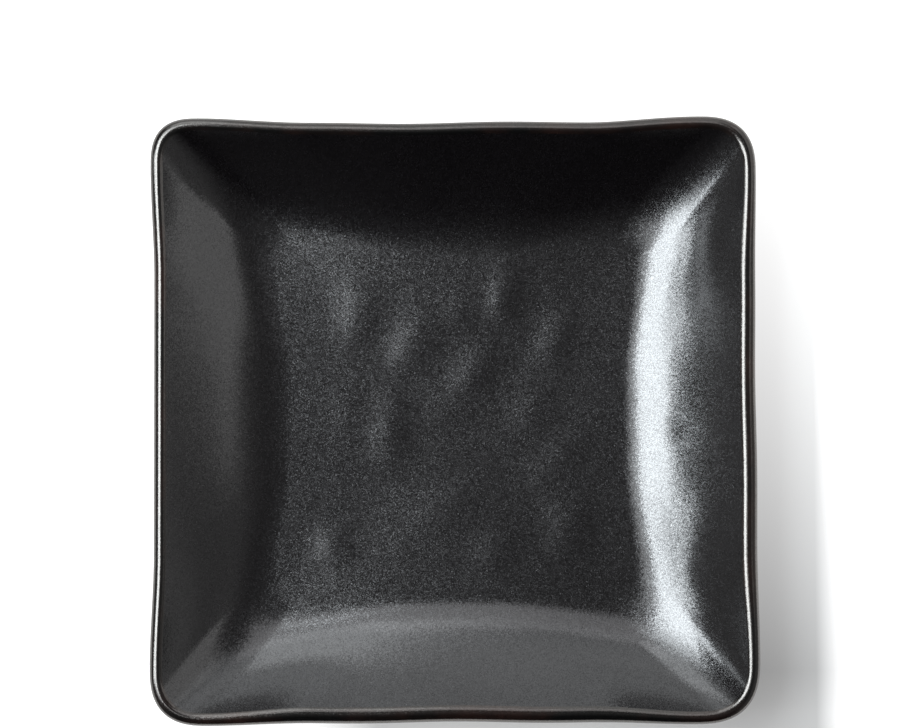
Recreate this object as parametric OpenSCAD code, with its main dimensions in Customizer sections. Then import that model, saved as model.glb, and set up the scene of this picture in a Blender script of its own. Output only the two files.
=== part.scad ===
// Square dinner plate of black-glazed stoneware, with a hand-formed rim and well.
// Millimetres, +Z up. The origin is the centre of the plane that the foot ring stands on.
// X and Y run along the sides, and the far side of the plate is towards +Y.

/* [Rim] */
// Width across the rim, corner to corner along a side
plate_w = 267; // [240:1:290]
// How far the rounding of a rim corner reaches along a side
rim_corner_r = 26; // [18:1:36]
// How far the middle of a rim side draws in from its corners
rim_pinch = 1.9; // [0:0.1:4]
// Half the swing of the slow wave along a rim side
rim_wave = 1.1; // [0:0.1:2]
// How far the rim rises from the middle of a side to its corners
corner_lift = 1; // [0:0.1:4]
// Width of the rounded lip at the corners, seen from above
lip_w = 5.6; // [4:0.1:6.5]

/* [Well] */
// Width across the floor, corner to corner along a side
well_w = 159; // [145:1:170]
// How far the rounding of a floor corner reaches along a side
well_corner_r = 8; // [4:1:24]
// How much further the rounding of the corners reaches half way up the wall
corner_swell = 3; // [0:0.5:14]
// How far the middle of a floor side draws in from its corners
well_pinch = 4.9; // [0:0.1:8]
// How much further the middle of a side draws in half way up the wall
wall_pinch = 3.1; // [0:0.1:6]
// Depth from the top of the wall down to the edge of the floor
well_depth = 25; // [16:0.5:28]
// How far the middle of the floor sags below its edge
floor_sag = 1.2; // [0:0.1:1.5]
// Height of the tallest hand mark pressed into the clay
mark_h = 0.5; // [0:0.05:0.8]

/* [Clay] */
// Thickness of the clay under the edge of the floor
clay_t = 5.4; // [4:0.1:8]
// Thickness of each coat of glaze
glaze_t = 0.45; // [0.3:0.05:0.8]

/* [Foot] */
// Height of the foot ring
foot_h = 5.2; // [4:0.1:8]
// Width of the foot's strip of clay where it joins the base
foot_t = 8; // [6:0.5:11]
// Width of the bare face that the foot stands on
foot_land_w = 4.2; // [2.5:0.1:5]
// Corner radius inside the foot ring
foot_inner_r = 9; // [5:1:14]
// Distance from the edge of the flat base in to the foot ring
foot_inset = 3.5; // [1:0.5:8]

/* [Hidden] */
$fn = 64;

clay_colour = "#5b4a3f";
satin_black = "#232326";
gloss_black = "#18181a";

// Chamfer along both edges of the foot's standing face
foot_edge = 0.7;
// Bare line left between a coat of glaze and the foot ring
glaze_gap = 0.2;

// Points along a side, points round a corner, rings across the floor, up the wall and round the lip
side_steps = 16;
corner_steps = 6;
floor_steps = 9;
wall_steps = 8;
lip_steps = 6;
under_steps = 7;
ring_count = 4 * (side_steps + corner_steps);

// Share of the wall's slope that comes in early, towards a rounder cove. Below zero it comes in late.
cove_share = -0.1;
// Power of a corner's curve on the floor and at the rim: 1 is a circle's arc, more is nearer to a
// chamfer, and less runs more softly into the sides
floor_corner_power = 1.4;
rim_corner_power = 0.75;
// Far right, far left, near left and near right corner: share of the rounding's reach
corner_r_shares = [0.97, 0.79, 0.98, 1.11];
// Share of a side, either way from its middle, that the pinch holds straight, and where the lift begins
floor_flat_share = 0.2;
wall_flat_share = 0.2;
rim_flat_share = 0.55;
lift_start_share = 0.4;
// Right, far, left and near side: shares of the pinch on the floor and at the inner and the outer edge
// of the lip, share of the wave, and place of the wave's crest
floor_pinch_shares = [0.85, 1.15, 1.35, 0.4];
rim_pinch_shares = [1.05, 1.15, 0.85, 1.4];
edge_pinch_shares = [0.15, 1.15, 0.85, 0.3];
wave_shares = [0.25, 0.4, 0, 0.4];
crest_shares = [0.6, -0.25, 0, 0.45];
// Waves along a rim side, in turns over half its length
wave_turns = 1.15;

// Hand marks, as shares of the floor's half width: x, y, half length, half breadth. Then the long
// way's angle from +X, and the height as a share of the tallest. The last four are on the right wall.
mark_shares = [
  [0.28, 0.71, 0.13, 0.085, 85, 1],
  [0.12, 0.28, 0.15, 0.1, 65, 0.8],
  [-0.23, 0.44, 0.18, 0.12, 62, 0.85],
  [-0.36, -0.05, 0.19, 0.1, 88, 0.75],
  [0.44, 0.05, 0.14, 0.1, 55, 0.55],
  [0.58, -0.23, 0.22, 0.1, 48, 0.5],
  [0.58, 0.49, 0.17, 0.1, 75, 0.9],
  [-0.68, -0.68, 0.11, 0.1, 90, 0.8],
  [0.23, -0.74, 0.13, 0.1, 70, 0.45],
  [0.64, -0.59, 0.2, 0.12, 85, 0.85],
  [-0.06, -0.5, 0.2, 0.12, 35, 0.45],
  [-0.54, 0.58, 0.18, 0.12, 85, 0.85],
  [-0.6, 0.05, 0.13, 0.085, 90, 0.3],
  [-0.04, 0.08, 0.15, 0.1, 50, 0.3],
  [0.04, 0.63, 0.13, 0.09, 75, 0.4],
  [1.3, -0.06, 0.1, 0.1, 90, 0.9],
  [1.4, -0.86, 0.1, 0.12, 90, 0.7],
  [1.45, 0.86, 0.25, 0.13, 90, -1],
  [1.4, -0.56, 0.15, 0.12, 90, -0.9],
];

// Derived sizes
plate_half = plate_w / 2;
well_half = well_w / 2;
rim_in = plate_half - lip_w;
wall_run = rim_in - well_half;
floor_z = foot_h + clay_t + glaze_t;
sag_slope = 2 * floor_sag / well_half;
rise_total = (1 + cove_share) / 2 - cove_share / 3;
rim_tilt = wall_tilt(1);
lip_r = lip_w / (1 + sin(rim_tilt));
lip_mid_half = rim_in + lip_r * sin(rim_tilt);
lip_mid_z = floor_z + well_depth - lip_r * cos(rim_tilt);
foot_half = well_half - well_pinch * max(floor_pinch_shares) - foot_inset;
foot_outer_r = foot_inner_r + foot_t;
base_glaze_half = foot_half - foot_t - glaze_gap;
foot_draft = (foot_t - foot_land_w) / 2 - foot_edge;

function mix(a, b, t) = a + (b - a) * t;
function smooth(t) = let (c = min(max(t, 0), 1)) c * c * (3 - 2 * c);
function turn(side, p) = [[p.x, p.y], [-p.y, p.x], [-p.x, -p.y], [p.y, -p.x]][side];

// Height of the wall over the edge of the floor, and its angle, s being the share of its run outwards.
// The slope grows nearly evenly, and the slope of the sagging floor dies out up the wall.
function wall_z(s) =
  well_depth * (s * s * (1 + cove_share) / 2 - s * s * s * cove_share / 3) / rise_total
    + sag_slope * wall_run * s * (1 - s) * (1 - s);
function wall_tilt(s) = atan(
  well_depth / wall_run * s * (1 + cove_share - cove_share * s) / rise_total
    + sag_slope * (1 - s) * (1 - 3 * s));

// How far a side stands in from its corners, v running from -1 to 1 along it
function held(v, flat_share) = 1 - smooth((abs(v) - flat_share) / (1 - flat_share));
function side_inset(side, v, pinch, rimness, edge) =
  let (fade = (1 - v * v) * (1 - v * v))
  let (rim_share = mix(rim_pinch_shares[side], edge_pinch_shares[side], edge))
  pinch * mix(floor_pinch_shares[side], rim_share, rimness)
    * held(v, mix(floor_flat_share, rim_flat_share, rimness))
    + wall_pinch * 4 * rimness * (1 - rimness) * held(v, wall_flat_share)
    - rim_wave * wave_shares[side] * rimness * fade * cos(360 * wave_turns * (v - crest_shares[side]));

function lift_at(v, rimness) =
  corner_lift * rimness * rimness * smooth((abs(v) - lift_start_share) / (1 - lift_start_share));

// Height of the hand marks at a place on the plate
function marks_at(x, y) =
  let (heights = [for (m = mark_shares)
    let (dx = x / well_half - m[0], dy = y / well_half - m[1])
    let (along = (dx * cos(m[4]) + dy * sin(m[4])) / m[2])
    let (across = (dy * cos(m[4]) - dx * sin(m[4])) / m[3])
    m[5] * exp(-along * along - across * across)])
  mark_h * (heights * [for (h = heights) 1]);

// One ring of points round the plate. rimness is 0 on the floor and 1 at the rim, edge is 0 inside the
// lip and 1 outside it, and marked says how much of the hand marks the ring takes.
function corner_power(rimness) = mix(floor_corner_power, rim_corner_power, rimness);
function ring(half, r, pinch, z, rimness, edge, marked, power, r_shares = corner_r_shares) = [
  for (side = [0:3])
    let (before = r * r_shares[(side + 3) % 4], after = r * r_shares[side])
    each concat(
      [for (k = [0:side_steps])
        let (v = 2 * k / side_steps - 1)
        let (across = mix(before - half, half - after, k / side_steps))
        let (p = turn(side, [half - side_inset(side, v, pinch, rimness, edge), across]))
        [p.x, p.y, z + lift_at(v, rimness) + marked * marks_at(p.x, p.y)]],
      [for (k = [1:corner_steps - 1])
        let (a = 90 * k / corner_steps)
        let (corner = half - after)
        let (p = turn(side, [corner + after * pow(cos(a), power), corner + after * pow(sin(a), power)]))
        [p.x, p.y, z + lift_at(1, rimness) + marked * marks_at(p.x, p.y)]])
];

// Clay and glaze together, measured square to the wall
function wall_t(s) = mix(clay_t + 2 * glaze_t, 2 * lip_r, s);

// A ring a depth of d below the glazed surface, on the floor, on the wall and round the lip
function floor_ring(f, d) = ring(
  f * well_half, f * well_corner_r, f * well_pinch, floor_z - floor_sag * (1 - f * f) - d,
  0, 0, 1, corner_power(0));
function wall_ring(s, d, edge) =
  let (out = d * sin(wall_tilt(s)))
  ring(
    mix(well_half, rim_in, s) + out,
    mix(well_corner_r, rim_corner_r - lip_w, s) + corner_swell * 4 * s * (1 - s) + out,
    mix(well_pinch, rim_pinch, s),
    floor_z + wall_z(s) - d * cos(wall_tilt(s)),
    s, edge, (1 - edge) * (1 - s * s * s * s), corner_power(s));
function lip_ring(t, d) =
  let (a = 90 + rim_tilt - 180 * t)
  let (half = lip_mid_half + (lip_r - d) * cos(a))
  ring(
    half, rim_corner_r - plate_half + half, rim_pinch, lip_mid_z + (lip_r - d) * sin(a),
    1, t, 0, corner_power(1));

// The rings of each stretch of the section, from the middle of the well outwards and round to the base
function well_rings(d) = concat(
  [for (k = [1:floor_steps]) floor_ring(k / floor_steps, d)],
  [for (k = [1:wall_steps]) wall_ring(k / wall_steps, d, 0)]);
function lip_rings(d) = [for (k = [0:lip_steps]) lip_ring(k / lip_steps, d)];
function under_rings(skin) = [for (k = [under_steps:-1:0])
  let (s = k / under_steps) wall_ring(s, wall_t(s) - skin, 1)];
function foot_line(z) =
  ring(foot_half + glaze_gap, foot_outer_r + glaze_gap, 0, z, 0, 0, 0, 1, [1, 1, 1, 1]);
function middle_z(d) = floor_z - floor_sag - d + marks_at(0, 0);

function reverse(list) = [for (k = [len(list) - 1:-1:0]) list[k]];
function flat(rings) = [for (r = rings) each r];

// Triangles between two rings. On the way back the diagonals are mirrored, so that the back of a coat
// has the same triangles as the clay that it lies on.
function strip(first, second, back) = [for (j = [0:ring_count - 1])
  let (next = (j + 1) % ring_count)
  each back
    ? [[first + j, first + next, second + j], [first + next, second + next, second + j]]
    : [[first + j, first + next, second + next], [first + j, second + next, second + j]]];

// A solid whose section is a closed loop, carried round the plate. Its way back starts at ring back_from.
module ring_loop(rings, back_from) {
  last = len(rings) - 1;
  polyhedron(
    points = flat(rings),
    faces = [for (k = [0:last])
      each strip(ring_count * k, ring_count * ((k + 1) % (last + 1)), k >= back_from)]);
}

// A solid whose section runs from a point on the axis round to another point on it
module ring_dish(rings, top, bottom, back_from) {
  last = len(rings) - 1;
  top_point = ring_count * len(rings);
  polyhedron(
    points = concat(flat(rings), [[0, 0, top], [0, 0, bottom]]),
    faces = concat(
      [for (j = [0:ring_count - 1]) [top_point, (j + 1) % ring_count, j]],
      [for (k = [0:last - 1]) each strip(ring_count * k, ring_count * (k + 1), k >= back_from)],
      [for (j = [0:ring_count - 1])
        [top_point + 1, ring_count * last + j, ring_count * last + (j + 1) % ring_count]]));
}

module rounded_square(half, r) {
  square([2 * half, 2 * (half - r)], center = true);
  square([2 * (half - r), 2 * half], center = true);
  for (x = [-1, 1], y = [-1, 1]) translate([x * (half - r), y * (half - r)]) circle(r);
}

// The pressed slab of clay: floor, wall and lip in one, under the glaze
module stoneware_body() {
  lip = lip_rings(glaze_t);
  rings = concat(well_rings(glaze_t), [for (k = [1:lip_steps - 1]) lip[k]], under_rings(glaze_t));
  color(clay_colour) ring_dish(rings, middle_z(glaze_t), foot_h, len(rings));
}

// Section of the foot's strip, from its inner root outwards
module foot_section() {
  polygon([
    [0, foot_h],
    [foot_t, foot_h],
    [foot_t - foot_draft, foot_edge],
    [foot_t - foot_draft - foot_edge, 0],
    [foot_draft + foot_edge, 0],
    [foot_draft, foot_edge]]);
}

// The strip of clay luted under the base, in a ring with round corners, left bare of glaze
module foot_ring() {
  straight = foot_half - foot_outer_r;
  color(clay_colour) for (side = [0:3]) rotate(90 * side) {
    translate([foot_half - foot_t, straight, 0])
      rotate([90, 0, 0]) linear_extrude(2 * straight) foot_section();
    translate([straight, straight, 0])
      rotate_extrude(angle = 90) translate([foot_inner_r, 0]) foot_section();
  }
}

// Satin glaze over the floor and the wall that food lies on
module well_glaze() {
  outside = well_rings(0);
  rings = concat(outside, reverse(well_rings(glaze_t)));
  color(satin_black) ring_dish(rings, middle_z(0), middle_z(glaze_t), len(outside));
}

// Glossier band of glaze round the lip
module rim_glaze() {
  outside = lip_rings(0);
  color(gloss_black) ring_loop(concat(outside, reverse(lip_rings(glaze_t))), len(outside));
}

// Glaze on the outside, from the lip down to the foot ring
module outer_glaze() {
  outside = concat(under_rings(0), [foot_line(foot_h - glaze_t), foot_line(foot_h)]);
  color(satin_black) ring_loop(concat(outside, reverse(under_rings(glaze_t))), len(outside));
}

// Panel of glaze inside the foot ring
module base_glaze() {
  color(satin_black) translate([0, 0, foot_h - glaze_t]) linear_extrude(glaze_t)
    rounded_square(base_glaze_half, foot_inner_r - glaze_gap);
}

stoneware_body();
foot_ring();
well_glaze();
rim_glaze();
outer_glaze();
base_glaze();
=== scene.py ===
import math

import bpy
import numpy as np
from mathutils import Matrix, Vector


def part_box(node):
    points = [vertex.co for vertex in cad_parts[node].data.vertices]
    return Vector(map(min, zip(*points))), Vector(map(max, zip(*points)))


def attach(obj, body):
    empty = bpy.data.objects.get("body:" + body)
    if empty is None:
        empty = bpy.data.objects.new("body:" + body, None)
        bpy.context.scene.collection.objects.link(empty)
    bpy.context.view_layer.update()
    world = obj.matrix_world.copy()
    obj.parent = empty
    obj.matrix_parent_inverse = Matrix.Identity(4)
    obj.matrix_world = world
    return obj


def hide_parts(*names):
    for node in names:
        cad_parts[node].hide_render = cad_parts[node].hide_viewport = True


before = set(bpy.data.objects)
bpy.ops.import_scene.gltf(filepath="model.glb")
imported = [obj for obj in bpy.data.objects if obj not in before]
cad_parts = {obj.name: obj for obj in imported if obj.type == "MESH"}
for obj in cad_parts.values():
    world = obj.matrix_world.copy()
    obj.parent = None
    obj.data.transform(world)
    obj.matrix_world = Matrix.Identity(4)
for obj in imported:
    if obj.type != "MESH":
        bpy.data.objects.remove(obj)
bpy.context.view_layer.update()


# Clay body. A slab of dark stoneware clay, rolled out and pressed over a square mould, then fired.
# Floor, wall and lip are one piece. Glaze covers it all over, so only a hairline of it shows, under
# the base beside the foot ring, and its solid stays as it is with a bare clay finish.

clay_dark = (0.030, 0.021, 0.016, 1.0)
clay_light = (0.120, 0.082, 0.058, 1.0)
cloud_dark = (0.55, 0.50, 0.46, 1.0)
cloud_light = (1.00, 0.96, 0.90, 1.0)
cloud_share = 0.7
grog_per_m = 900
clouds_per_m = 45
grog_h = 0.00025


def add_node(tree, kind, inputs=None, **settings):
    """A shader node of that kind, with its settings and its unlinked input values."""
    made = tree.nodes.new(kind)
    for key, value in settings.items():
        setattr(made, key, value)
    for key, value in (inputs or {}).items():
        made.inputs[key].default_value = value
    return made


def noise(tree, place, scale, detail=2.0, roughness=0.5):
    """Fractal noise over an Object coordinate: about scale lumps to the metre."""
    made = add_node(tree, "ShaderNodeTexNoise", {"Scale": scale, "Detail": detail, "Roughness": roughness})
    tree.links.new(place, made.inputs["Vector"])
    return made.outputs["Fac"]


def ramp(tree, factor, low, high, low_colour, high_colour):
    """Runs from one colour to another while the factor goes from low to high."""
    made = add_node(tree, "ShaderNodeValToRGB")
    first, last = made.color_ramp.elements
    first.position, first.color = low, low_colour
    last.position, last.color = high, high_colour
    tree.links.new(factor, made.inputs["Fac"])
    return made.outputs["Color"]


def spread(tree, factor, low, high, to_low, to_high):
    """Maps a factor from one span of values to another, without leaving the new span."""
    made = add_node(tree, "ShaderNodeMapRange", {
        "From Min": low, "From Max": high, "To Min": to_low, "To Max": to_high})
    tree.links.new(factor, made.inputs["Value"])
    return made.outputs["Result"]


def bump(tree, height, distance, below=None):
    """Raises the surface by the height times a distance in metres, on top of another bump."""
    made = add_node(tree, "ShaderNodeBump", {"Strength": 1.0, "Distance": distance})
    tree.links.new(height, made.inputs["Height"])
    if below is not None:
        tree.links.new(below, made.inputs["Normal"])
    return made.outputs["Normal"]


def new_material(name):
    """An empty material with its shader and the Object coordinates that its patterns follow."""
    material = bpy.data.materials.new(name)
    material.use_nodes = True
    tree = material.node_tree
    shader = tree.nodes["Principled BSDF"]
    place = add_node(tree, "ShaderNodeTexCoord").outputs["Object"]
    return material, tree, shader, place


def bare_clay():
    """Fired stoneware: brown-grey, matt, with grog grains and small iron specks."""
    material, tree, shader, place = new_material("bare_clay")
    grains = noise(tree, place, grog_per_m, 4.0, 0.65)
    clouds = noise(tree, place, clouds_per_m)
    tone = ramp(tree, grains, 0.34, 0.72, clay_dark, clay_light)
    cloudy = add_node(tree, "ShaderNodeMix", data_type="RGBA", blend_type="MULTIPLY")
    cloudy.inputs["Factor"].default_value = cloud_share
    tree.links.new(tone, cloudy.inputs["A"])
    tree.links.new(ramp(tree, clouds, 0.3, 0.7, cloud_dark, cloud_light), cloudy.inputs["B"])
    tree.links.new(cloudy.outputs["Result"], shader.inputs["Base Color"])
    tree.links.new(spread(tree, grains, 0.3, 0.7, 0.72, 0.92), shader.inputs["Roughness"])
    tree.links.new(bump(tree, grains, grog_h), shader.inputs["Normal"])
    return material


clay = bare_clay()
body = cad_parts["stoneware_body"]
body.data.materials.clear()
body.data.materials.append(clay)


# Foot ring. A strip of the same clay, luted under the base in a square ring with round corners,
# drafted on both sides and wiped clean of glaze so that the plate doesn't stick to the kiln shelf.

foot_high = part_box("foot_ring")[1]
foot_half = foot_high.x
foot_h = foot_high.z
foot_t = 0.008
foot_land_w = 0.0042
foot_edge_r = 0.0009
foot_inner_r = 0.009
foot_outer_r = foot_inner_r + foot_t
foot_side_steps = 5
foot_edge_steps = 8

side_steps = 96
corner_steps = 30


def round_square():
    """Parameters round a rounded square, side by side from +X by way of +Y.

    For each point: its side, v from -1 to 1 along the straight, and the turn round the corner after it.
    """
    along = np.concatenate([np.linspace(-1, 1, side_steps + 1), np.ones(corner_steps - 1)])
    turned = np.concatenate([np.zeros(side_steps + 1), np.linspace(0, np.pi / 2, corner_steps + 1)[1:-1]])
    sides = np.repeat(np.arange(4), len(along))
    return sides, np.tile(along, 4), np.tile(turned, 4)


sides, along, turned = round_square()


def mix(a, b, t):
    """The value a share t of the way from a to b."""
    return a + (b - a) * t


def lay_round(half, corner, inset, height, power=1.0, corner_shares=np.ones(4)):
    """Rings of points: half width and corner reach by ring, inset and height by ring and point.

    In a side's own axes a point stands at half - corner (1 - cos^power turn) - inset outwards. Across,
    it goes from one corner's start to the next one's, and then on by corner sin^power turn. Each side
    is the first one turned by quarters, and corner_shares makes a corner wider or tighter.
    """
    before, after = corner * corner_shares[sides - 1], corner * corner_shares[sides]
    out = half - after * (1 - np.cos(turned) ** power) - inset
    across = mix(before - half, half - after, (along + 1) / 2) + after * np.sin(turned) ** power
    c, s = np.cos(sides * np.pi / 2), np.sin(sides * np.pi / 2)
    return np.stack(np.broadcast_arrays(out * c - across * s, out * s + across * c, height), axis=-1)


def carry_round(name, rings, material, dish=False):
    """A closed mesh from rings of points. The section is a closed loop, or for a dish it runs
    from the axis to the axis and both ends are closed by a point at the ring's middle."""
    count, points, _ = rings.shape
    place = np.arange(count * points).reshape(count, points)
    first = place if not dish else place[:-1]
    second = np.roll(place, -1, axis=0)[:len(first)]
    quads = np.stack([first, np.roll(first, -1, 1), np.roll(second, -1, 1), second], axis=-1).reshape(-1, 4)
    vertices = rings.reshape(-1, 3)
    triangles = np.empty((0, 3), int)
    if dish:
        ends = rings[[0, -1]].mean(axis=1)
        vertices = np.concatenate([vertices, ends])
        top, bottom = len(vertices) - 2, len(vertices) - 1
        triangles = np.concatenate([
            np.stack([np.full(points, top), np.roll(place[0], -1), place[0]], axis=-1),
            np.stack([np.full(points, bottom), place[-1], np.roll(place[-1], -1)], axis=-1)])
    corners = vertices[np.concatenate([quads[:, [0, 1, 2]], quads[:, [0, 2, 3]], triangles])]
    volume = np.einsum("ij,ij->i", corners[:, 0], np.cross(corners[:, 1], corners[:, 2])).sum()
    if volume < 0:
        quads, triangles = quads[:, ::-1], triangles[:, ::-1]
    mesh = bpy.data.meshes.new(name)
    mesh.from_pydata(vertices, [], quads.tolist() + triangles.tolist())
    mesh.polygons.foreach_set("use_smooth", np.ones(len(mesh.polygons), bool))
    mesh.set_sharp_from_angle(angle=math.radians(35))
    mesh.materials.append(material)
    piece = bpy.data.objects.new(name, mesh)
    bpy.context.scene.collection.objects.link(piece)
    return piece


def foot_section():
    """Section of the strip, from its inner root round the standing face to its outer root.

    The sides lean in to the land, and an arc rounds each edge of it. Columns: outward, up.
    """
    lean = (foot_t - foot_land_w) / 2 - foot_edge_r
    arc = np.linspace(0, np.pi / 2, foot_edge_steps + 1)
    near = np.stack([lean + foot_edge_r * (1 - np.cos(arc)), foot_edge_r * (1 - np.sin(arc))], axis=-1)
    side = np.linspace([0.0, foot_h], near[0], foot_side_steps + 1)[:-1]
    half_section = np.concatenate([side, near])
    return np.concatenate([half_section, (half_section * [-1, 1] + [foot_t, 0])[::-1]])


section = foot_section()
foot_rings = lay_round(
    foot_half - foot_t + section[:, :1], foot_inner_r + section[:, :1], 0.0, section[:, 1:])
foot = carry_round("foot_ring_clay", foot_rings, clay)
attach(foot, "root")
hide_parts("foot_ring")


# Well glaze. The satin black coat over the floor and the wall, which flows a little and keeps the
# hand marks of the pressed clay. It is sprayed on, so a fine grain stands in it.

plate_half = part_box("rim_glaze")[1].x
rim_corner_r = 0.026
rim_pinch = 0.0019
rim_wave = 0.0011
corner_lift = 0.001
lip_w = 0.0056
well_half = 0.0795
well_corner_r = 0.008
corner_swell = 0.003
well_pinch = 0.0049
wall_pinch = 0.0031
well_depth = 0.025
floor_sag = 0.0012
mark_h = 0.0005
clay_t = 0.0054
glaze_t = 0.00045
cove_share = -0.1
floor_corner_power = 1.4
rim_corner_power = 0.75
floor_flat_share = 0.2
wall_flat_share = 0.2
rim_flat_share = 0.55
lift_start_share = 0.4
# Far right, far left, near left and near right corner
corner_r_shares = np.array([0.97, 0.79, 0.98, 1.11])
# Right, far, left and near side, on the floor and at the inner and the outer edge of the lip
floor_pinch_shares = np.array([0.85, 1.15, 1.35, 0.4])
rim_pinch_shares = np.array([1.05, 1.15, 0.85, 1.4])
edge_pinch_shares = np.array([0.15, 1.15, 0.85, 0.3])
wave_shares = np.array([0.25, 0.4, 0, 0.4])
crest_shares = np.array([0.6, -0.25, 0, 0.45])
wave_turns = 1.15
# Hand marks, as shares of the floor's half width: x, y, half length, half breadth. Then the long
# way's angle from +X, and the height as a share of the tallest. The last four are on the right wall.
mark_shares = np.array([
    [0.28, 0.71, 0.13, 0.085, 85, 1],
    [0.12, 0.28, 0.15, 0.1, 65, 0.8],
    [-0.23, 0.44, 0.18, 0.12, 62, 0.85],
    [-0.36, -0.05, 0.19, 0.1, 88, 0.75],
    [0.44, 0.05, 0.14, 0.1, 55, 0.55],
    [0.58, -0.23, 0.22, 0.1, 48, 0.5],
    [0.58, 0.49, 0.17, 0.1, 75, 0.9],
    [-0.68, -0.68, 0.11, 0.1, 90, 0.8],
    [0.23, -0.74, 0.13, 0.1, 70, 0.45],
    [0.64, -0.59, 0.2, 0.12, 85, 0.85],
    [-0.06, -0.5, 0.2, 0.12, 35, 0.45],
    [-0.54, 0.58, 0.18, 0.12, 85, 0.85],
    [-0.6, 0.05, 0.13, 0.085, 90, 0.3],
    [-0.04, 0.08, 0.15, 0.1, 50, 0.3],
    [0.04, 0.63, 0.13, 0.09, 75, 0.4],
    [1.3, -0.06, 0.1, 0.1, 90, 0.9],
    [1.4, -0.86, 0.1, 0.12, 90, 0.7],
    [1.45, 0.86, 0.25, 0.13, 90, -1],
    [1.4, -0.56, 0.15, 0.12, 90, -0.9],
])
glaze_ior = 2.1
glaze_black = (0.0022, 0.0016, 0.0020, 1.0)
glaze_grey = (0.0050, 0.0039, 0.0048, 1.0)
crystals_per_m = 3000.0
steep_power = 3.0
dark_from = 0.4

rim_in = plate_half - lip_w
wall_run = rim_in - well_half
floor_z = foot_h + clay_t + glaze_t
sag_slope = 2 * floor_sag / well_half
rise_total = (1 + cove_share) / 2 - cove_share / 3


def smooth(t):
    """Smooth step: 0 up to t = 0, 1 from t = 1, and 3t^2 - 2t^3 between."""
    t = np.clip(t, 0, 1)
    return t * t * (3 - 2 * t)


def wall_z(s):
    """Height of the wall over the edge of the floor, s being the share of its run outwards.

    The slope grows nearly evenly, and the slope of the sagging floor dies out up the wall.
    """
    curve = (s**2 * (1 + cove_share) / 2 - s**3 * cove_share / 3) / rise_total
    return well_depth * curve + sag_slope * wall_run * s * (1 - s) ** 2


def wall_tilt(s):
    """Angle of the wall from the level, the arc tangent of wall_z's own slope."""
    slope = well_depth / wall_run * s * (1 + cove_share - cove_share * s) / rise_total
    return np.arctan(slope + sag_slope * (1 - s) * (1 - 3 * s))


def marks_at(x, y):
    """Sum of the hand marks: each a Gaussian hump, longer one way than the other."""
    total = np.zeros_like(x)
    for mx, my, length, breadth, angle, height in mark_shares:
        c, s = math.cos(math.radians(angle)), math.sin(math.radians(angle))
        dx, dy = x / well_half - mx, y / well_half - my
        total += height * np.exp(-((dx * c + dy * s) / length) ** 2 - ((dy * c - dx * s) / breadth) ** 2)
    return mark_h * total


def held(flat_share):
    """1 along the middle share of a side, and smoothly down to 0 at its corners."""
    return 1 - smooth((np.abs(along) - flat_share) / (1 - flat_share))


def plate_rings(half, corner, pinch, height, rimness, edge, marked):
    """Rings of the plate's own plan: a rounded square whose sides are pinched and waved.

    Every argument has one value a ring. rimness is 0 on the floor and 1 at the rim: it brings in the
    wave of the sides, the softer corners and their lift. edge is 0 inside the lip and 1 outside it.
    marked is the share of the hand marks.
    """
    half, corner, pinch, height, rimness, edge, marked = (
        np.asarray(a, float).reshape(-1, 1) + np.zeros((np.size(half), 1))
        for a in (half, corner, pinch, height, rimness, edge, marked))
    rim_share = mix(rim_pinch_shares[sides], edge_pinch_shares[sides], edge)
    drawn_in = pinch * mix(floor_pinch_shares[sides], rim_share, rimness)
    wave = (1 - along**2) ** 2 * np.cos(2 * np.pi * wave_turns * (along - crest_shares[sides]))
    inset = drawn_in * held(mix(floor_flat_share, rim_flat_share, rimness))
    inset += wall_pinch * 4 * rimness * (1 - rimness) * held(wall_flat_share)
    inset -= rim_wave * wave_shares[sides] * rimness * wave
    lift = corner_lift * rimness**2 * smooth((np.abs(along) - lift_start_share) / (1 - lift_start_share))
    power = mix(floor_corner_power, rim_corner_power, rimness)
    rings = lay_round(half, corner, inset, height + lift, power, corner_r_shares)
    rings[..., 2] += marked * marks_at(rings[..., 0], rings[..., 1])
    return rings


def wall_rings(s, depth, edge):
    """Rings a depth below the glazed wall, square to it, s being the share of its run.

    edge is 0 on the well's own side, which keeps the hand marks, and 1 on the outside.
    """
    tilt = wall_tilt(s)
    out = depth * np.sin(tilt)
    return plate_rings(
        mix(well_half, rim_in, s) + out,
        mix(well_corner_r, rim_corner_r - lip_w, s) + corner_swell * 4 * s * (1 - s) + out,
        mix(well_pinch, rim_pinch, s),
        floor_z + wall_z(s) - depth * np.cos(tilt),
        s, edge, (1 - edge) * (1 - s**4))


def well_rings(floor_steps, wall_steps, depth):
    """Rings from the middle of the floor out to the lip, a depth below the glazed surface."""
    f = np.linspace(0, 1, floor_steps + 1)[1:]
    height = floor_z - floor_sag * (1 - f**2) - depth
    floor = plate_rings(f * well_half, f * well_corner_r, f * well_pinch, height, 0.0, 0.0, 1.0)
    return np.concatenate([floor, wall_rings(np.linspace(0, 1, wall_steps + 1)[1:], depth, 0.0)])


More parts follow.
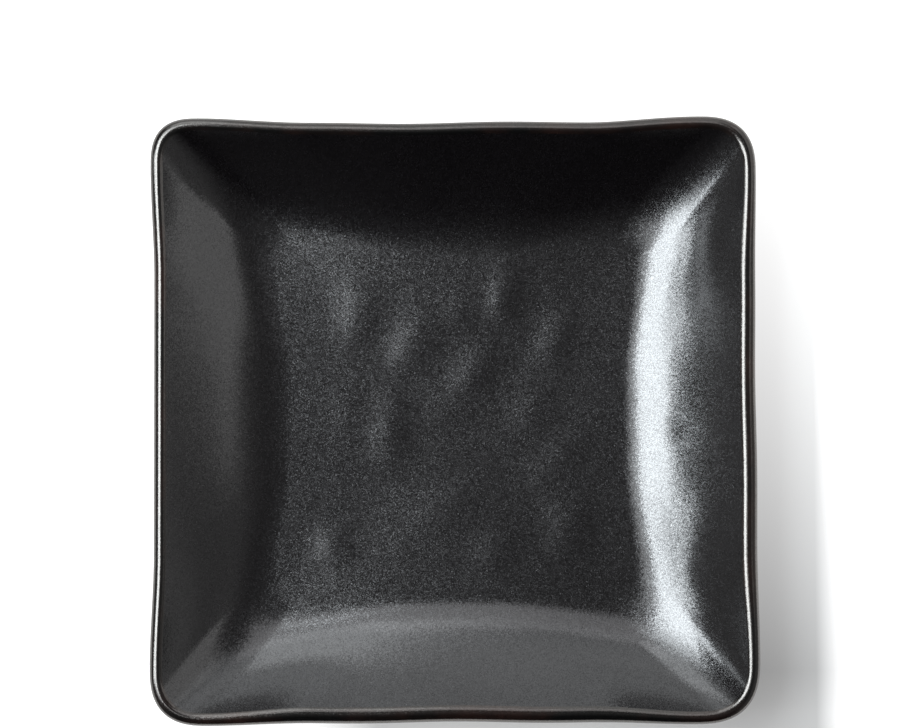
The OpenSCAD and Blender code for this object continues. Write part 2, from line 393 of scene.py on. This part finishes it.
def tilted_facets(tree, place, tilt, steep_tilt):
    """Normals of a skin of crystals: the surface's own, leaned by a random vector for each crystal.

    The lean's reach is tilt + steep_tilt r^3 for a random r, so that a few crystals lean far more
    than the rest. Also gives two random numbers for each crystal.
    """
    crystals = add_node(tree, "ShaderNodeTexVoronoi", {"Scale": crystals_per_m})
    tree.links.new(place, crystals.inputs["Vector"])
    chance = add_node(tree, "ShaderNodeTexWhiteNoise")
    tree.links.new(crystals.outputs["Position"], chance.inputs["Vector"])
    steep = add_node(tree, "ShaderNodeMath", operation="POWER")
    tree.links.new(chance.outputs["Value"], steep.inputs[0])
    steep.inputs[1].default_value = steep_power
    reach = spread(tree, steep.outputs[0], 0.0, 1.0, tilt, tilt + steep_tilt)
    way = add_node(tree, "ShaderNodeVectorMath", operation="MULTIPLY_ADD")
    tree.links.new(crystals.outputs["Color"], way.inputs[0])
    way.inputs[1].default_value = (2, 2, 2)
    way.inputs[2].default_value = (-1, -1, -1)
    lean = add_node(tree, "ShaderNodeVectorMath", operation="SCALE")
    tree.links.new(way.outputs[0], lean.inputs[0])
    tree.links.new(reach, lean.inputs["Scale"])
    leaned = add_node(tree, "ShaderNodeVectorMath", operation="ADD")
    tree.links.new(add_node(tree, "ShaderNodeNewGeometry").outputs["Normal"], leaned.inputs[0])
    tree.links.new(lean.outputs[0], leaned.inputs[1])
    unit = add_node(tree, "ShaderNodeVectorMath", operation="NORMALIZE")
    tree.links.new(leaned.outputs[0], unit.inputs[0])
    second = add_node(tree, "ShaderNodeSeparateColor")
    tree.links.new(chance.outputs["Color"], second.inputs[0])
    return unit.outputs[0], chance.outputs["Value"], second.outputs["Green"]


def satin_glaze(name, rough_low, rough_high, tilt, steep_tilt, dark_share):
    """Black glaze, rich in iron: a skin of fine crystals, each leaning its own way and a little
    glossier or duller than the next, and some of them dark as metal scale."""
    material, tree, shader, place = new_material(name)
    facets, speck, dark_speck = tilted_facets(tree, place, tilt, steep_tilt)
    tone = ramp(tree, speck, 0.1, 0.9, glaze_black, glaze_grey)
    tree.links.new(tone, shader.inputs["Base Color"])
    tree.links.new(spread(tree, speck, 0.0, 1.0, rough_low, rough_high), shader.inputs["Roughness"])
    tree.links.new(spread(tree, dark_speck, dark_from, 1.0, 0.0, dark_share), shader.inputs["Metallic"])
    tree.links.new(facets, shader.inputs["Normal"])
    shader.inputs["IOR"].default_value = glaze_ior
    return material


satin = satin_glaze(
    "satin_black_glaze", rough_low=0.08, rough_high=0.28, tilt=0.030, steep_tilt=0.036, dark_share=0.42)
well_front = well_rings(floor_steps=64, wall_steps=64, depth=0.0)
well_back = well_rings(floor_steps=10, wall_steps=8, depth=glaze_t)
well = carry_round("well_glaze_coat", np.concatenate([well_front, well_back[::-1]]), satin, dish=True)
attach(well, "root")
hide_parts("well_glaze")


# Rim glaze. The same coat round the lip, where it runs thin and glossy and lets the iron in the clay
# show as a broken brown line along the crest.

iron_black = (0.0030, 0.0030, 0.0032, 1.0)
iron_brown = (0.0180, 0.0080, 0.0065, 1.0)
thin_glaze_tint = (1.0, 0.95, 0.9, 1.0)
breaks_per_m = 24.0

rim_tilt = float(wall_tilt(np.array(1.0)))
lip_r = lip_w / (1 + math.sin(rim_tilt))
lip_mid_half = rim_in + lip_r * math.sin(rim_tilt)
lip_mid_z = floor_z + well_depth - lip_r * math.cos(rim_tilt)


def lip_rings(steps, depth):
    """Rings round the lip's half circle, from the wall over the crest to the outside."""
    t = np.linspace(0, 1, steps + 1)
    angle = np.pi / 2 + rim_tilt - np.pi * t
    half = lip_mid_half + (lip_r - depth) * np.cos(angle)
    return plate_rings(
        half, rim_corner_r - plate_half + half, rim_pinch,
        lip_mid_z + (lip_r - depth) * np.sin(angle), 1.0, t, 0.0)


def iron_breaks(material):
    """Brown breaks along the lip: long soft patches of a slow noise in the glaze's own colour."""
    tree = material.node_tree
    shader = tree.nodes["Principled BSDF"]
    place = add_node(tree, "ShaderNodeTexCoord").outputs["Object"]
    patches = noise(tree, place, breaks_per_m, 4.0, 0.6)
    tree.links.new(ramp(tree, patches, 0.46, 0.66, iron_black, iron_brown), shader.inputs["Base Color"])
    shader.inputs["Specular Tint"].default_value = thin_glaze_tint


gloss = satin_glaze(
    "glossy_rim_glaze", rough_low=0.10, rough_high=0.18, tilt=0.016, steep_tilt=0.03, dark_share=0.3)
iron_breaks(gloss)
rim_coat = np.concatenate([lip_rings(steps=48, depth=0.0), lip_rings(steps=8, depth=glaze_t)[::-1]])
rim = carry_round("rim_glaze_coat", rim_coat, gloss)
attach(rim, "root")
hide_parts("rim_glaze")


# Outer glaze. The same satin coat on the outside of the wall, sprayed on with the plate turned over.
# It runs from the lip down to a clean edge beside the foot ring.

glaze_gap = 0.0002


def under_rings(steps, skin):
    """Rings down the outside of the wall to the base, a skin's depth inside the finished surface."""
    s = np.linspace(1, 0, steps + 1)
    return wall_rings(s, mix(clay_t + 2 * glaze_t, 2 * lip_r, s) - skin, 1.0)


foot_line = lay_round(
    foot_half + glaze_gap, foot_outer_r + glaze_gap, 0.0, np.array([[foot_h - glaze_t], [foot_h]]))
outer_front = under_rings(steps=48, skin=0.0)
outer_back = under_rings(steps=8, skin=glaze_t)
outer_coat = np.concatenate([outer_front, foot_line, outer_back[::-1]])
outer = carry_round("outer_glaze_coat", outer_coat, satin)
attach(outer, "root")
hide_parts("outer_glaze")


# Base glaze. The panel of satin glaze inside the foot ring, brushed on last. Its edge is soft where it
# was wiped back from the ring.

base_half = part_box("base_glaze")[1].x
base_corner_r = foot_inner_r - glaze_gap
base_steps = 25
base_edge_steps = 6


def base_section():
    """Section of the panel from the axis out along its lower face, round its edge and back above.

    The edge is a quarter circle as high as the glaze is thick. Columns: outward, up.
    """
    turn = np.linspace(0, np.pi / 2, base_edge_steps + 1)
    edge = np.stack([base_half - glaze_t * (1 - np.sin(turn)), foot_h - glaze_t * np.cos(turn)], axis=-1)
    inner = np.linspace(0.02, 0.98, base_steps) * edge[0, 0]
    lower = np.stack([inner, np.full(base_steps, foot_h - glaze_t)], axis=-1)
    upper = np.stack([inner, np.full(base_steps, foot_h)], axis=-1)
    return np.concatenate([lower, edge, upper[::-1]])


base_out, base_up = np.split(base_section(), 2, axis=1)
base_rings = lay_round(base_out, base_out * base_corner_r / base_half, 0.0, base_up)
base = carry_round("base_glaze_panel", base_rings, satin, dish=True)
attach(base, "root")
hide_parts("base_glaze")


# Floor. A pale table under the foot ring, which isn't part of the plate. Its glow makes it white to the
# camera and to reflections. The glow is painted light that changes across the table: it is weakest beside
# the plate's right and near sides, which paints how deep the plate's shadow looks there, and full further
# out and at the far side, which paints the shadow out. The table keeps the plate's own shadow from the
# lamps and can be looked through from below.

floor_size = 6.0
table_grey = (0.34, 0.335, 0.33, 1.0)
table_rough = 0.9
# The table's painted glow grows from the near side to the far side of the plate, so the shadow looks deeper
# near
glow_near_y = -0.13
glow_far_y = 0.10
glow_near = 0.20
glow_far = 0.93
# More painted glow beyond the ends of the shadow, which paints them out: axis, where it starts, where it is
# full, and how much
glow_ends = (
    ("X", 0.12, 0.06, 0.10),
    ("X", -0.035, -0.065, 0.55),
    ("X", 0.162, 0.178, 0.75),
    ("Y", -0.112, -0.13, 0.12),
    ("Y", -0.15, -0.20, 0.55),
)


def pale_table():
    """Pale and matt, with a glow of its own for the camera and for reflections, clear from behind.

    The glow is painted light: its strength is set by place on the table and shapes the plate's shadow.
    """
    material, tree, shader, place = new_material("pale_table")
    shader.inputs["Base Color"].default_value = table_grey
    shader.inputs["Roughness"].default_value = table_rough
    shader.inputs["Specular IOR Level"].default_value = 0.0
    path = add_node(tree, "ShaderNodeLightPath")
    seen = path.outputs["Is Camera Ray"]
    for ray in ("Is Glossy Ray", "Is Transmission Ray"):
        either = add_node(tree, "ShaderNodeMath", operation="MAXIMUM")
        tree.links.new(seen, either.inputs[0])
        tree.links.new(path.outputs[ray], either.inputs[1])
        seen = either.outputs[0]
    apart = add_node(tree, "ShaderNodeSeparateXYZ")
    tree.links.new(place, apart.inputs[0])
    fade = spread(tree, apart.outputs["Y"], glow_near_y, glow_far_y, glow_near, glow_far)
    for axis, start, full, amount in glow_ends:
        brighter = add_node(tree, "ShaderNodeMath", operation="ADD", use_clamp=True)
        tree.links.new(fade, brighter.inputs[0])
        tree.links.new(spread(tree, apart.outputs[axis], start, full, 0.0, amount), brighter.inputs[1])
        fade = brighter.outputs[0]
    glow = add_node(tree, "ShaderNodeMath", operation="MULTIPLY")
    tree.links.new(seen, glow.inputs[0])
    tree.links.new(fade, glow.inputs[1])
    shader.inputs["Emission Color"].default_value = (1, 1, 1, 1)
    tree.links.new(glow.outputs[0], shader.inputs["Emission Strength"])
    clear = add_node(tree, "ShaderNodeBsdfTransparent")
    side = add_node(tree, "ShaderNodeNewGeometry")
    both = add_node(tree, "ShaderNodeMixShader")
    tree.links.new(side.outputs["Backfacing"], both.inputs[0])
    tree.links.new(shader.outputs[0], both.inputs[1])
    tree.links.new(clear.outputs[0], both.inputs[2])
    tree.links.new(both.outputs[0], tree.nodes["Material Output"].inputs["Surface"])
    return material


floor_mesh = bpy.data.meshes.new("pale_table")
h = floor_size / 2
floor_mesh.from_pydata([(-h, -h, 0), (h, -h, 0), (h, h, 0), (-h, h, 0)], [], [(0, 1, 2, 3)])
floor_mesh.materials.append(pale_table())
floor = bpy.data.objects.new("pale_table", floor_mesh)
bpy.context.scene.collection.objects.link(floor)


# Light. A key softbox at the left, with small ones at its edges that shape the bright band on the right
# wall, wide dim ones at the far side, one overhead and a weak fill at the right. The near side stays
# dark, so the far wall of the well goes black.

key_blue = (0.90, 0.96, 1.0)
pale_blue = (0.94, 0.97, 1.0)
far_blue = (0.93, 0.97, 1.0)
soft_white = (0.97, 0.97, 1.0)
plain_white = (1.0, 1.0, 1.0)


def softbox(name, towards, distance, width, height, radiance, colour):
    """An area lamp facing the plate: towards gives its angles off the vertical, to +X and to +Y.

    Its power is 4 times its radiance times its area.
    """
    lamp = bpy.data.lights.new(name, "AREA")
    lamp.shape = "RECTANGLE"
    lamp.size, lamp.size_y = width, height
    lamp.energy = radiance * 4 * width * height
    lamp.color = colour
    box = bpy.data.objects.new(name, lamp)
    way = Vector((math.tan(math.radians(towards[0])), math.tan(math.radians(towards[1])), 1)).normalized()
    box.location = way * distance
    box.rotation_euler = (-way).to_track_quat("-Z", "Y").to_euler()
    box.visible_camera = False
    bpy.context.scene.collection.objects.link(box)


softbox("key_softbox", (-28.5, 10), 1.5, 1.20, 0.71, 3.4, key_blue)
softbox("key_core", (-28.5, 7), 1.5, 0.80, 0.71, 3.5, key_blue)
softbox("key_low", (-37, -17), 1.5, 0.24, 0.36, 1.0, key_blue)
softbox("key_upper_wing", (-48, 17), 1.5, 0.19, 0.30, 5.6, key_blue)
softbox("key_upper_tip", (-64, 27), 1.5, 0.16, 0.26, 1.3, key_blue)
softbox("key_lower_wing", (-49, -13), 1.5, 0.15, 0.32, 5.2, key_blue)
softbox("key_glow", (-25, 12), 1.5, 1.30, 1.00, 0.1, pale_blue)
softbox("key_edge", (-12.5, 0), 3.0, 1.08, 0.52, 1.2, pale_blue)
softbox("far_left_softbox", (-20, 47), 1.6, 0.60, 0.84, 1.1, far_blue)
softbox("far_left_low_softbox", (-38, 75), 1.6, 0.40, 0.50, 0.25, key_blue)
softbox("far_softbox", (0, 59), 1.6, 2.24, 1.60, 0.25, far_blue)
softbox("far_right_softbox", (18, 56), 1.6, 0.70, 0.70, 0.18, far_blue)
softbox("far_right_low_softbox", (39, 78), 1.6, 0.36, 0.40, 0.16, key_blue)
softbox("middle_softbox", (2, 28), 1.6, 0.66, 0.76, 0.72, soft_white)
softbox("right_softbox", (58, 44), 1.6, 1.30, 1.30, 0.36, plain_white)
softbox("right_low_softbox", (44, 5), 1.6, 0.36, 0.36, 0.09, plain_white)

# Brightness of the room by direction: axis, where it starts, where it is full, and the level at each
room_levels = (
    ("X", 0.3, 0.7, 0.0, 0.18),
    ("X", 0.86, 0.99, 0.0, 0.32),
    ("X", -0.76, -0.88, 0.0, 0.17),
    ("X", 0.05, -0.12, 0.0, 0.03),
    ("X", -0.2, -0.6, 0.0, 0.09),
    ("Y", 0.55, 0.85, 0.0, 0.32),
    ("Z", -0.02, 0.03, 1.0, 0.0),
)
world = bpy.data.worlds.new("studio_room")
world.use_nodes = True
sky = world.node_tree
way = add_node(sky, "ShaderNodeSeparateXYZ")
sky.links.new(add_node(sky, "ShaderNodeTexCoord").outputs["Generated"], way.inputs[0])
room = spread(sky, way.outputs["Y"], -0.65, -0.1, 0.01, 0.08)
for axis, start, full, level_start, level_full in room_levels:
    brighter = add_node(sky, "ShaderNodeMath", operation="MAXIMUM")
    sky.links.new(room, brighter.inputs[0])
    sky.links.new(spread(sky, way.outputs[axis], start, full, level_start, level_full), brighter.inputs[1])
    room = brighter.outputs[0]
sky.nodes["Background"].inputs["Color"].default_value = (1, 1, 1, 1)
sky.links.new(room, sky.nodes["Background"].inputs["Strength"])
bpy.context.scene.world = world
bpy.context.scene.view_settings.view_transform = "Standard"
bpy.context.scene.cycles.denoising_prefilter = "NONE"


# Camera. It looks almost straight down, a little from the near side, with the plate low in the frame.

camera_distance = 1.30
camera_lean = math.radians(3.0)
photo_w = 910
plate_px = 608.5
camera_roll = math.radians(0.22)
aim = Vector((0.0005, 0.0243, 0.0371))
camera = bpy.data.cameras.new("camera")
camera.sensor_width = 36
camera.lens = plate_px / (2 * plate_half) * camera_distance / photo_w * camera.sensor_width
view = bpy.data.objects.new("camera", camera)
back = Vector((0, -math.sin(camera_lean), math.cos(camera_lean)))
view.location = aim + back * camera_distance
view.rotation_euler = (-back).to_track_quat("-Z", "Y").to_euler()
view.rotation_euler.rotate_axis("Z", -camera_roll)
bpy.context.scene.collection.objects.link(view)
bpy.context.scene.camera = view
